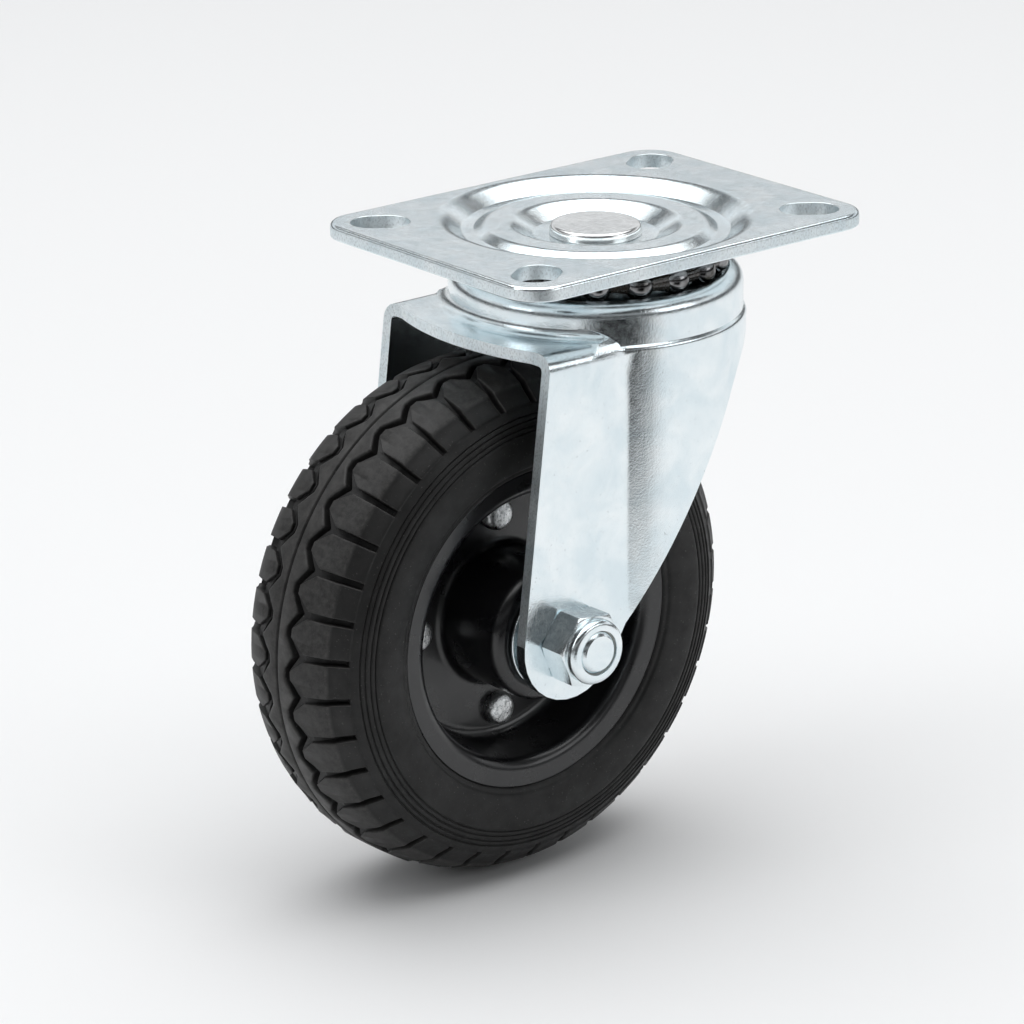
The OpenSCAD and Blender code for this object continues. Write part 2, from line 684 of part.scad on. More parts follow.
// Cutters of one pitch of the tread, at the top of the tyre and on the far side
module zigzag_cutter() {
    run = tyre_r * tan(pitch_angle / 2) + 0.02;
    w = zigzag_w / 2;
    translate([0, 0, tyre_r - zigzag_depth]) linear_extrude(zigzag_depth + cut) polygon([
        [-run, zigzag_valley_y - w], [0, zigzag_tip_y - w], [run, zigzag_valley_y - w],
        [run, zigzag_valley_y + w], [0, zigzag_tip_y + w], [-run, zigzag_valley_y + w]]);
}
module gap_cutter() {
    d = lug_gap_depth;
    rotate([90, 0, 90]) translate([0, 0, -lug_gap_w / 2]) linear_extrude(lug_gap_w) polygon([
        [zigzag_valley_y, tyre_r - 0.2 - d], [shoulder_y - 2.4, tyre_r - 1.7 - d],
        [shoulder_y - 0.6, shoulder_r - d], [lug_end_y - 1.5, lug_end_r - 0.4],
        [half_w + cut, lug_end_r - 0.4], [half_w + cut, tyre_r + cut], [zigzag_valley_y, tyre_r + cut]]);
}
module tread_side(turn) {
    for (i = [0:lug_count - 1]) {
        rotate([0, i * pitch_angle + turn, 0]) zigzag_cutter();
        rotate([0, (i + 0.5) * pitch_angle + turn, 0]) gap_cutter();
    }
}
module tyre() {
    color(RUBBER) difference() {
        turned_on_axle(tyre_section());
        translate([-trail, 0, axle_z]) {
            tread_side(tread_shift);
            on_far_side() tread_side(0);
        }
    }
}

top_plate();
kingpin();
lower_race();
upper_balls();
lower_balls();
fork();
axle_bolt();
lock_nut();
nylon_insert();
spacer_near();
spacer_far();
inner_ring_near();
inner_ring_far();
axle_sleeve();
tyre();
rim_near();
rim_far();
rim_rivets();
outer_ring_near();
outer_ring_far();
bearing_balls_near();
bearing_balls_far();
cage_near();
cage_far();
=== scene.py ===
"""Looks of a swivel castor with a pressed plate, a ball race and a rubber wheel."""

import logging
import math
from dataclasses import dataclass, field
from enum import Enum
from typing import Callable, Optional, Sequence, Union

import bmesh
import bpy
from mathutils import Matrix, Vector


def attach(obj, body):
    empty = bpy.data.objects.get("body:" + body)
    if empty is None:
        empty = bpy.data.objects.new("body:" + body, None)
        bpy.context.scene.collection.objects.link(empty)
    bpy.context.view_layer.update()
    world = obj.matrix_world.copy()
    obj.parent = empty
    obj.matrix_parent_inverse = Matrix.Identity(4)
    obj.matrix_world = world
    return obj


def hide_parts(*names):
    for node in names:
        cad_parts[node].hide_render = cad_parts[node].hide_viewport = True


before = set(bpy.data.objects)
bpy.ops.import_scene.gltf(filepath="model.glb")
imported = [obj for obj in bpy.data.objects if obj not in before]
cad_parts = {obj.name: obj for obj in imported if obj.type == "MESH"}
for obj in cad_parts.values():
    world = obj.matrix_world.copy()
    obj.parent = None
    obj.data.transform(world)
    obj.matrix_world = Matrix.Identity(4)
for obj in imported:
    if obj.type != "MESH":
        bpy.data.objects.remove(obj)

LOG = logging.getLogger("castor")
Point = tuple[float, float]
Place = tuple[float, float, float]
Colour = tuple[float, float, float]
Socket = bpy.types.NodeSocket

MM = 0.001
AXLE: Place = (-26.7, 0.0, -71.8)
WHEEL_R = 50.0
FLOOR_Z = AXLE[2] - WHEEL_R

POLE_R = 1e-6  # a smaller radius is a pole
SAME_POINT = 2e-6  # points of a copy closer than this, in metres, become one

# Angles between faces, in degrees.
FLAT_ANGLE = 0.4  # faces of a copy closer than this become one
BREAK_ANGLE = 32.0  # edges of a copy that bend more than this are broken
EDGE_ANGLE = 50.0  # edges of a scene piece that bend more than this stay sharp
THREAD_ANGLE = 60.0  # the same for the thread
SMOOTH_ALL = 180.0  # no edge stays sharp


class Body(Enum):
    """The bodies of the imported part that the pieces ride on."""

    PLATE = "plate"
    UPPER_RING = "upper_ring"
    LOWER_RING = "lower_ring"
    FORK = "fork"
    WHEEL = "wheel"
    NEAR_RING = "near_ring"
    FAR_RING = "far_ring"


class Slot(Enum):
    """The record's material slots."""

    ZINC = "zinc"
    STEEL = "steel"
    PAINT = "black_paint"
    RUBBER = "rubber"
    NYLON = "nylon"


class Side(Enum):
    """The two sides of the wheel, with the sign of Y."""

    NEAR = -1
    FAR = 1


# ---- finishes


class Graph:
    """A node tree, with short ways to add its nodes."""

    def __init__(self, tree: bpy.types.NodeTree) -> None:
        """Keeps the tree."""
        self.tree = tree
        self.join = tree.links.new

    def feed(self, socket: Socket, value: object) -> None:
        """Gives an input a constant, or joins another node's output to it.

        Args:
            socket: the input.
            value: the constant or the output.
        """
        if isinstance(value, Socket):
            self.join(value, socket)
        else:
            socket.default_value = value

    def node(self, kind: str, operation: Optional[str] = None, **values: object) -> bpy.types.Node:
        """Adds a node.

        Args:
            kind: the node's type.
            operation: its operation, where it has one.
            values: constants or outputs for its inputs, with _ for a space in a name.

        Returns:
            The node.
        """
        made = self.tree.nodes.new(kind)
        if operation:
            made.operation = operation
        for key, value in values.items():
            self.feed(made.inputs[key.replace("_", " ")], value)
        return made

    def math(self, operation: str, first: Union[Socket, float], second: Union[Socket, float]) -> Socket:
        """One sum of two sockets or numbers.

        Args:
            operation: the Math node's operation.
            first: a socket or a number.
            second: a socket or a number.

        Returns:
            The value socket.
        """
        node = self.node("ShaderNodeMath", operation)
        for i, part in enumerate((first, second)):
            self.feed(node.inputs[i], part)
        return node.outputs[0]

    def spread(self, value: Socket, low: float, high: float, to_low: float, to_high: float) -> Socket:
        """Returns a value with its range from low to high mapped to one from to_low to to_high."""
        return self.node("ShaderNodeMapRange", Value=value, From_Min=low, From_Max=high, To_Min=to_low,
                         To_Max=to_high).outputs["Result"]


class Nodes(Graph):
    """The nodes of one material round a Principled shader."""

    def __init__(self, name: str) -> None:
        """Starts the material.

        Args:
            name: the material's name.
        """
        self.material = bpy.data.materials.new(name)
        self.material.use_nodes = True
        super().__init__(self.material.node_tree)
        self.shader = self.tree.nodes["Principled BSDF"]
        self.object = self.node("ShaderNodeTexCoord").outputs["Object"]

    def set(self, **values: object) -> None:
        """Sets constants on the shader's own sockets, with _ for a space in a name."""
        for key, value in values.items():
            self.shader.inputs[key.replace("_", " ")].default_value = value

    def link(self, socket: Socket, name: str) -> None:
        """Joins a socket to one of the shader's inputs."""
        self.join(socket, self.shader.inputs[name])

    def attribute(self, name: str) -> Socket:
        """Reads an attribute of the mesh.

        Args:
            name: the attribute's name.

        Returns:
            The factor socket.
        """
        node = self.node("ShaderNodeAttribute")
        node.attribute_name = name
        return node.outputs["Fac"]

    def centred(self, place: Place) -> Socket:
        """The object coordinates as seen from a point.

        Args:
            place: the point in millimetres that becomes the origin.

        Returns:
            The vector socket.
        """
        node = self.node("ShaderNodeMapping", Vector=self.object)
        node.vector_type = "TEXTURE"
        node.inputs["Location"].default_value = [p * MM for p in place]
        return node.outputs["Vector"]

    def stretched(self, scale: Place) -> Socket:
        """Returns the object coordinates, scaled along each axis."""
        return self.node("ShaderNodeMapping", Vector=self.object, Scale=scale).outputs["Vector"]

    def noise(self, size_mm: float, detail: float = 3, rough: float = 0.5, vector: Optional[Socket] = None,
              distortion: float = 0.0) -> Socket:
        """Returns noise with features of one size, read at a vector or at the object coordinates."""
        return self.node("ShaderNodeTexNoise", Vector=vector or self.object, Scale=1 / (size_mm * MM), Detail=detail,
                         Roughness=rough, Distortion=distortion).outputs["Fac"]

    def mixed(self, factor: Socket, first: Union[Socket, Colour], second: Union[Socket, Colour]) -> Socket:
        """A colour between two, by a factor.

        Args:
            factor: the socket from 0 to 1.
            first: the colour at 0, or a socket.
            second: the colour at 1, or a socket.

        Returns:
            The colour socket.
        """
        node = self.node("ShaderNodeMix")
        node.data_type = "RGBA"
        first_input, second_input, output = 6, 7, 2  # the node's sockets for colours
        for i, colour in ((first_input, first), (second_input, second)):
            self.feed(node.inputs[i], (*colour, 1) if isinstance(colour, tuple) else colour)
        self.join(factor, node.inputs[0])
        return node.outputs[output]

    def radius(self, vector: Socket, axes: str) -> Socket:
        """The distance from an axis through the vector's origin.

        Args:
            vector: the vector socket.
            axes: the two axes that the distance is measured in, such as "XZ".

        Returns:
            The value socket, in metres.
        """
        split = self.node("ShaderNodeSeparateXYZ", Vector=vector)
        squares = [self.math("POWER", split.outputs[a], 2.0) for a in axes]
        return self.math("POWER", self.math("ADD", *squares), 0.5)

    def bump(self, height: Socket, distance_mm: float, strength: float, under: Optional[Socket] = None) -> Socket:
        """A bump from a height.

        Args:
            height: the height socket, from 0 to 1.
            distance_mm: how high 1 is.
            strength: how much of it shows.
            under: a bump that lies below this one.

        Returns:
            The normal socket, already joined to the shader.
        """
        node = self.node("ShaderNodeBump", Height=height, Distance=distance_mm * MM, Strength=strength)
        if under:
            self.join(under, node.inputs["Normal"])
        self.link(node.outputs["Normal"], "Normal")
        return node.outputs["Normal"]


@dataclass(frozen=True)
class ZincPlating:
    """Bright zinc on pressed steel: blue-white, grainy, cloudy, and rough where the sheet was sheared."""

    name: str = "bright_zinc"
    light: Colour = (0.875, 0.930, 0.948)
    dark: Colour = (0.735, 0.825, 0.862)
    speck: Colour = (0.30, 0.33, 0.34)
    smooth: float = 0.13
    rough: float = 0.26
    sheared: float = 0.26
    cloud_mm: float = 9.0
    haze_mm: float = 1.6
    tear_mm: float = 0.35
    pit_mm: float = 0.5
    pits: Point = (0.70, 0.76)
    dent_mm: float = 7.0
    grain_mm: float = 0.38
    grain_height_mm: float = 0.042
    turning_mm: float = 0.0
    turning_height_mm: float = 0.012

    def build(self) -> bpy.types.Material:
        """Returns the material."""
        n = Nodes(self.name)
        n.set(Metallic=1.0)
        cut = n.attribute("cut")
        clouds = n.spread(n.noise(self.cloud_mm, 4, 0.6, distortion=0.4), 0.35, 0.65, 0, 1)
        torn = n.spread(n.noise(self.tear_mm, 4, 0.7, n.stretched((1, 1, 0.7))), 0.48, 0.68, 0, 0.55)
        pits = n.spread(n.noise(self.pit_mm, 2, 0.5), *self.pits, 0, 0.6)
        marks = n.math("MAXIMUM", n.math("MULTIPLY", torn, cut), pits)
        n.link(n.mixed(marks, n.mixed(clouds, self.light, self.dark), self.speck), "Base Color")
        haze = n.spread(n.noise(self.haze_mm, 5, 0.65), 0.3, 0.7, self.smooth, self.rough)
        n.link(n.math("ADD", haze, n.math("MULTIPLY", cut, self.sheared)), "Roughness")
        under = n.bump(n.noise(self.grain_mm, 3, 0.6), self.grain_height_mm, 0.7)
        under = n.bump(n.noise(self.dent_mm, 2), self.grain_height_mm * 1.6, 0.5, under)
        if self.turning_mm:
            ring = n.math("MULTIPLY", n.radius(n.object, "XY"), 2 * math.pi / (self.turning_mm * MM))
            wave = n.spread(n.math("SINE", ring, 0.0), -1, 1, 0, 1)
            n.bump(wave, self.turning_height_mm, 0.6, under)
        return n.material


@dataclass(frozen=True)
class TurnedSteel:
    """Plain steel, stained and dulled by a film of grease."""

    name: str
    base: Colour = (0.52, 0.53, 0.55)
    stain: Colour = (0.16, 0.15, 0.14)
    smooth: float = 0.18
    rough: float = 0.36
    stain_mm: float = 3.5
    haze_mm: float = 0.8
    grain_mm: float = 0.4
    grain_height_mm: float = 0.006

    def build(self) -> bpy.types.Material:
        """Returns the material."""
        n = Nodes(self.name)
        n.set(Metallic=1.0)
        stains = n.spread(n.noise(self.stain_mm, 4, 0.6), 0.5, 0.72, 0, 1)
        n.link(n.mixed(stains, self.base, self.stain), "Base Color")
        n.link(n.spread(n.noise(self.haze_mm, 4), 0.3, 0.7, self.smooth, self.rough), "Roughness")
        n.bump(n.noise(self.grain_mm, 2), self.grain_height_mm, 0.5)
        return n.material


@dataclass(frozen=True)
class GlossPaint:
    """Black stove enamel on the rim, with a slight orange peel and a trace of dust."""

    name: str = "black_enamel"
    base: Colour = (0.006, 0.006, 0.007)
    dust: Colour = (0.03, 0.03, 0.031)
    dust_mm: float = 0.7
    haze_mm: float = 5.0
    peel_mm: float = 1.4
    peel_height_mm: float = 0.02

    def build(self) -> bpy.types.Material:
        """Returns the material."""
        n = Nodes(self.name)
        n.set(Coat_Weight=0.35, Coat_Roughness=0.12, IOR=1.5)
        specks = n.spread(n.noise(self.dust_mm, 6, 0.7), 0.60, 0.74, 0, 1)
        n.link(n.mixed(specks, self.base, self.dust), "Base Color")
        n.link(n.spread(n.noise(self.haze_mm, 4), 0.3, 0.7, 0.24, 0.38), "Roughness")
        n.bump(n.noise(self.peel_mm, 2), self.peel_height_mm, 0.35)
        return n.material


@dataclass(frozen=True)
class MouldedRubber:
    """Black moulded rubber: matt, with a fine skin, dust, a greyer worn crown, and painted highlights on the lugs'
    tops and edges.
    """

    name: str = "black_rubber"
    base: Colour = (0.0072, 0.0070, 0.0068)
    worn: Colour = (0.0175, 0.0172, 0.0170)
    # the grey of the worn crown, and also of the painted highlight on the lugs' edges and tops
    scuff_and_highlight_grey: Colour = (0.064, 0.062, 0.060)
    crown_r: Point = (49.35, 49.95)
    patch_mm: float = 6.0
    scuff_mm: float = 3.0
    dust_mm: float = 0.45
    highlight_patch_mm: float = 1.1
    haze_mm: float = 2.2
    pore_mm: float = 0.25
    pore_height_mm: float = 0.02
    wave_mm: float = 2.5
    wave_height_mm: float = 0.07

    def build(self) -> bpy.types.Material:
        """Returns the material."""
        n = Nodes(self.name)
        n.set(IOR=1.5, Specular_IOR_Level=0.36)
        skin = n.mixed(n.spread(n.noise(self.patch_mm, 6, 0.62), 0.40, 0.75, 0, 1), self.base, self.worn)
        low, high = (r * MM for r in self.crown_r)
        crown = n.spread(n.radius(n.centred(AXLE), "XZ"), low, high, 0, 1)
        scuffs = n.math("MULTIPLY", crown, n.spread(n.noise(self.scuff_mm, 6, 0.7), 0.35, 0.7, 0.15, 0.9))
        dust = n.spread(n.noise(self.dust_mm, 2, 0.6), 0.67, 0.74, 0, 0.9)
        # painted highlight: a mesh attribute lightens the lugs' and grooves' edges and the blocks' tops, standing in
        # for the light their rounded edges catch; noise breaks it up
        patchy = n.spread(n.noise(self.highlight_patch_mm, 4, 0.7), 0.35, 0.65, 0.2, 1)
        edge_highlights = n.math("MULTIPLY", n.attribute("painted_edge_highlight"), patchy)
        marks = n.math("MAXIMUM", n.math("MAXIMUM", scuffs, dust), edge_highlights)
        n.link(n.mixed(marks, skin, self.scuff_and_highlight_grey), "Base Color")
        n.link(n.spread(n.noise(self.haze_mm, 5, 0.6), 0.3, 0.7, 0.42, 0.62), "Roughness")
        pores = n.bump(n.noise(self.pore_mm, 3, 0.6), self.pore_height_mm, 0.7)
        n.bump(n.noise(self.wave_mm, 3), self.wave_height_mm, 0.5, pores)
        return n.material


@dataclass(frozen=True)
class Grease:
    """Dark grease between the balls."""

    name: str = "dark_grease"
    thick: Colour = (0.010, 0.008, 0.006)
    thin: Colour = (0.035, 0.028, 0.02)

    def build(self) -> bpy.types.Material:
        """Returns the material."""
        n = Nodes(self.name)
        n.set(IOR=1.48, Coat_Weight=0.5, Coat_Roughness=0.1)
        n.link(n.mixed(n.noise(1.2, 3), self.thick, self.thin), "Base Color")
        n.link(n.spread(n.noise(0.9, 3), 0.3, 0.7, 0.16, 0.34), "Roughness")
        n.bump(n.noise(0.8, 3), 0.1, 0.6)
        return n.material


@dataclass(frozen=True)
class Nylon:
    """White nylon of the nut's ring."""

    name: str = "white_nylon"
    base: Colour = (0.74, 0.73, 0.68)
    pale: Colour = (0.80, 0.79, 0.75)

    def build(self) -> bpy.types.Material:
        """Returns the material."""
        n = Nodes(self.name)
        n.set(IOR=1.53, Subsurface_Weight=0.1)
        n.link(n.mixed(n.noise(1.5), self.base, self.pale), "Base Color")
        n.link(n.spread(n.noise(0.8), 0.3, 0.7, 0.4, 0.5), "Roughness")
        return n.material


@dataclass(frozen=True)
class PaleFloor:
    """The plain pale floor."""

    name: str = "pale_floor"
    grey: float = 0.86

    def build(self) -> bpy.types.Material:
        """Returns the material."""
        n = Nodes(self.name)
        n.set(Base_Color=(self.grey, self.grey, self.grey, 1), Roughness=0.6, Specular_IOR_Level=0.2)
        return n.material


@dataclass(frozen=True)
class BlackCard:
    """A black card whose soft edge is read from the mesh."""

    name: str = "black_card"

    def build(self) -> bpy.types.Material:
        """Returns the material."""
        n = Nodes(self.name)
        n.set(Base_Color=(0.004, 0.004, 0.004, 1), Roughness=1.0, Specular_IOR_Level=0.0)
        n.link(n.attribute("fade"), "Alpha")
        return n.material


class Finishes:
    """All the finishes, each built once."""

    def __init__(self) -> None:
        """Builds every material."""
        self.zinc = ZincPlating().build()
        self.races = TurnedSteel("race_steel").build()
        self.pin = ZincPlating("turned_zinc", (0.90, 0.905, 0.90), (0.78, 0.79, 0.79), smooth=0.16, rough=0.28,
                               grain_height_mm=0.005, turning_mm=0.9).build()
        self.peened = ZincPlating("peened_zinc", (0.90, 0.91, 0.91), (0.74, 0.76, 0.77), smooth=0.24, rough=0.40,
                                  grain_mm=0.6, grain_height_mm=0.22, pits=(0.52, 0.60)).build()
        self.balls = TurnedSteel("ball_steel", (0.26, 0.26, 0.265), (0.04, 0.036, 0.03), 0.10, 0.2).build()
        self.paint = GlossPaint().build()
        self.rubber = MouldedRubber().build()
        self.grease = Grease().build()
        self.nylon = Nylon().build()
        self.floor = PaleFloor().build()
        self.card = BlackCard().build()


# ---- mesh tools


def new_object(name: str, mesh: bpy.types.Mesh, material: bpy.types.Material) -> bpy.types.Object:
    """Links a mesh to the scene as an object with one material.

    Args:
        name: the piece's name.
        mesh: its mesh.
        material: its material.

    Returns:
        The object.
    """
    obj = bpy.data.objects.new(name, mesh)
    bpy.context.scene.collection.objects.link(obj)
    mesh.materials.clear()
    mesh.materials.append(material)
    return obj


def finish_mesh(mesh: bpy.types.Mesh, angle: float) -> None:
    """Shades a mesh smooth, with its edges sharp where they bend more than an angle in degrees."""
    mesh.shade_smooth()
    mesh.set_sharp_from_angle(angle=math.radians(angle))


def outward(mesh: bpy.types.Mesh) -> None:
    """Turns a mesh's normals outwards.

    Args:
        mesh: the mesh.
    """
    bm = bmesh.new()
    bm.from_mesh(mesh)
    bmesh.ops.recalc_face_normals(bm, faces=bm.faces)
    bm.to_mesh(mesh)
    bm.free()


def mesh_of(points: Sequence[Place], faces: Sequence[Sequence[int]], name: str,
            whole: bool = True) -> bpy.types.Mesh:
    """A mesh from points in millimetres.

    Args:
        points: the points.
        faces: the faces, as indices of points.
        name: the mesh's name.
        whole: whether it is a whole piece, whose normals are turned outwards.

    Returns:
        The mesh, in metres.
    """
    mesh = bpy.data.meshes.new(name)
    mesh.from_pydata([[c * MM for c in p] for p in points], [], faces)
    if whole:
        outward(mesh)
    return mesh


def smooth(x: float) -> float:
    """Returns a soft step from 0 to 1."""
    x = min(1.0, max(0.0, x))
    return x * x * (3 - 2 * x)


def polar(r: float, angle: float) -> Point:
    """Returns the point at a radius and an angle in degrees."""
    a = math.radians(angle)
    return (r * math.cos(a), r * math.sin(a))


def about_axle(r: float, y: float, angle: float) -> Place:
    """Returns the point at a radius, a height along the axle and an angle from +X towards +Z."""
    x, z = polar(r, angle)
    return (AXLE[0] + x, y, AXLE[2] + z)


def about_kingpin(r: float, z: float, angle: float) -> Place:
    """Returns the point at a radius, a height and an angle about the swivel axis, from +X towards +Y."""
    return (*polar(r, angle), z)


def turned(section: Sequence[Point], place: Callable[[float, float, float], Place], steps: int,
           name: str) -> bpy.types.Mesh:
    """A turned piece, from a section that runs from one pole to the other.

    Args:
        section: points of (radius, distance along the axis); a radius of 0 is a pole.
        place: gives the point for a radius, a distance and an angle in degrees.
        steps: how many steps there are round the axis.
        name: the mesh's name.

    Returns:
        The mesh.
    """
    points: list[Place] = []
    rings: list[list[int]] = []
    for r, h in section:
        count = 1 if r < POLE_R else steps
        rings.append([len(points) + i for i in range(count)])
        points += [place(r, h, 360 * i / steps) for i in range(count)]
    faces = []
    for a, b in zip(rings, rings[1:]):
        for i in range(steps):
            j = (i + 1) % steps
            quad = [a[i % len(a)], a[j % len(a)], b[j % len(b)], b[i % len(b)]]
            faces.append(list(dict.fromkeys(quad)))
    return mesh_of(points, faces, name)


def mark_cut(mesh: bpy.types.Mesh, roughness: Callable[[Vector, Vector], float]) -> None:
    """Marks the faces that a press has sheared, for the finish to read.

    Args:
        mesh: the mesh.
        roughness: tells how torn a face is, from its centre in millimetres and its normal.
    """
    marks = mesh.attributes.new("cut", "FLOAT", "FACE").data
    for face, mark in zip(mesh.polygons, marks):
        mark.value = roughness(face.center / MM, face.normal)


def softened(node: str, name: str, material: bpy.types.Material, edge_mm: float, body: Body, slot: Slot,
             torn: Optional[Callable[[Vector, Vector], float]] = None) -> bpy.types.Object:
    """A copy of a CAD node with its edges broken, which stands for the node.

    Args:
        node: the CAD node.
        name: the new piece's name.
        material: its material.
        edge_mm: how far its edges are broken.
        body: the body that it rides on.
        slot: the record's material slot.
        torn: tells how torn each face was by the press.

    Returns:
        The new piece.
    """
    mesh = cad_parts[node].data.copy()
    old_normals = mesh.attributes.get("custom_normal")
    if old_normals:
        mesh.attributes.remove(old_normals)
    bm = bmesh.new()
    bm.from_mesh(mesh)
    bmesh.ops.remove_doubles(bm, verts=bm.verts, dist=SAME_POINT)
    bmesh.ops.dissolve_limit(bm, angle_limit=math.radians(FLAT_ANGLE), verts=bm.verts, edges=bm.edges)
    bm.to_mesh(mesh)
    bm.free()
    if torn:
        mark_cut(mesh, torn)
    obj = new_object(name, mesh, material)
    finish_mesh(mesh, SMOOTH_ALL)
    bevel = obj.modifiers.new("broken_edges", "BEVEL")
    bevel.width = edge_mm * MM
    bevel.segments = 2
    bevel.limit_method = "ANGLE"
    bevel.angle_limit = math.radians(BREAK_ANGLE)
    bevel.use_clamp_overlap = True
    weight = obj.modifiers.new("flat_faces_lead", "WEIGHTED_NORMAL")
    weight.keep_sharp = True
    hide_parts(node)
    return riding(obj, body, slot)


def riding(obj: bpy.types.Object, body: Body, slot: Slot) -> bpy.types.Object:
    """Makes a piece ride on its body, and logs it.

    Args:
        obj: the piece.
        body: the body.
        slot: the record's material slot; not used.

    Returns:
        The piece.
    """
    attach(obj, body.value)
    LOG.info("%s rides on %s, %d faces", obj.name, body.value, len(obj.data.polygons))
    return obj


def dressed(node: str, material: bpy.types.Material) -> None:
    """Gives a CAD node that stays its material.

    Args:
        node: the CAD node.
        material: its material.
    """
    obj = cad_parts[node]
    obj.data.materials.clear()
    obj.data.materials.append(material)
    LOG.info("%s keeps its CAD form", node)


# ---- node trees


class NodeTree(Graph):
    """A Geometry Nodes tree with named inputs, which leaves a plain mesh on the piece it runs on."""

    def __init__(self, name: str, inputs: dict[str, str]) -> None:
        """Starts the tree.

        Args:
            name: the tree's name.
            inputs: the kind of each named input, such as "Float".
        """
        super().__init__(bpy.data.node_groups.new(name, "GeometryNodeTree"))
        face = self.tree.interface
        face.new_socket("Geometry", in_out="INPUT", socket_type="NodeSocketGeometry")
        self.identifiers = {
            key: face.new_socket(key, in_out="INPUT", socket_type=f"NodeSocket{kind}").identifier
            for key, kind in inputs.items()}
        face.new_socket("Geometry", in_out="OUTPUT", socket_type="NodeSocketGeometry")
        self.given = self.node("NodeGroupInput").outputs

    def close(self, made: bpy.types.Node) -> None:
        """Gives the finished node's geometry its material, and ends the tree."""
        finish = self.node("GeometryNodeSetMaterial", Geometry=made.outputs[0], Material=self.given["Finish"])
        self.join(finish.outputs[0], self.node("NodeGroupOutput").inputs[0])

    def run(self, obj: bpy.types.Object, values: dict[str, object]) -> None:
        """Runs the tree on a piece and leaves the result as its plain mesh.

        Args:
            obj: the piece.
            values: the value of each named input.
        """
        modifier = obj.modifiers.new(self.tree.name, "NODES")
        modifier.node_group = self.tree
        for key, value in values.items():
            modifier[self.identifiers[key]] = value
        depsgraph = bpy.context.evaluated_depsgraph_get()
        mesh = bpy.data.meshes.new_from_object(obj.evaluated_get(depsgraph))
        obj.modifiers.clear()
        old = obj.data
        obj.data = mesh
        bpy.data.meshes.remove(old)


class RoundPattern(NodeTree):
    """A tree that repeats one piece round an axis."""

    def __init__(self, name: str, axis: str) -> None:
        """Builds the tree.

        Args:
            name: the tree's name.
            axis: "Y" for the axle, "Z" for the swivel axis.
        """
        super().__init__(name, {"Count": "Int", "Centre": "Vector", "Weld Distance": "Float", "Finish": "Material"})
        node, given = self.node, self.given
        spots = node("GeometryNodePoints", Count=given["Count"], Position=given["Centre"])
        share = self.math("DIVIDE", node("GeometryNodeInputIndex").outputs[0], given["Count"])
        angle = node("ShaderNodeCombineXYZ", **{axis: self.math("MULTIPLY", share, 2 * math.pi)})
        away = node("ShaderNodeVectorMath", "SCALE", Vector=given["Centre"], Scale=-1)
        moved = node("GeometryNodeTransform", Geometry=given["Geometry"], Translation=away.outputs[0])
        copies = node("GeometryNodeInstanceOnPoints", Points=spots.outputs[0], Instance=moved.outputs[0],
                      Rotation=angle.outputs[0])
        real = node("GeometryNodeRealizeInstances", Geometry=copies.outputs[0])
        self.close(node("GeometryNodeMergeByDistance", Geometry=real.outputs[0], Distance=given["Weld Distance"]))

    def repeat(self, obj: bpy.types.Object, count: int, centre: Sequence[float],
               material: bpy.types.Material, weld_mm: float = 0.0001) -> None:
        """Gives a piece the whole ring as its mesh; centre is a point of the axis, in millimetres."""
        self.run(obj, {"Count": count, "Centre": [c * MM for c in centre], "Weld Distance": weld_mm * MM,
                       "Finish": material})


class ThreadSweep(NodeTree):
    """A tree that sweeps a thread's crest along a helix."""

    def __init__(self) -> None:
        """Builds the tree."""
        sizes = dict.fromkeys(("Turns", "Start Radius", "End Radius", "Height", "Crest Radius"), "Float")
        super().__init__("thread_sweep", {**sizes, "Centre": "Vector", "Turn": "Vector", "Finish": "Material"})
        node, given = self.node, self.given
        helix = node("GeometryNodeCurveSpiral", Resolution=40, Rotations=given["Turns"], Height=given["Height"],
                     Start_Radius=given["Start Radius"], End_Radius=given["End Radius"])
        crest = node("GeometryNodeCurvePrimitiveCircle", Resolution=6, Radius=given["Crest Radius"])
        swept = node("GeometryNodeCurveToMesh", Curve=helix.outputs[0], Profile_Curve=crest.outputs[0],
                     Fill_Caps=True)
        moved = node("GeometryNodeTransform", Geometry=swept.outputs[0], Translation=given["Centre"],
                     Rotation=given["Turn"])
        self.close(node("GeometryNodeRealizeInstances", Geometry=moved.outputs[0]))


# ---- the tyre


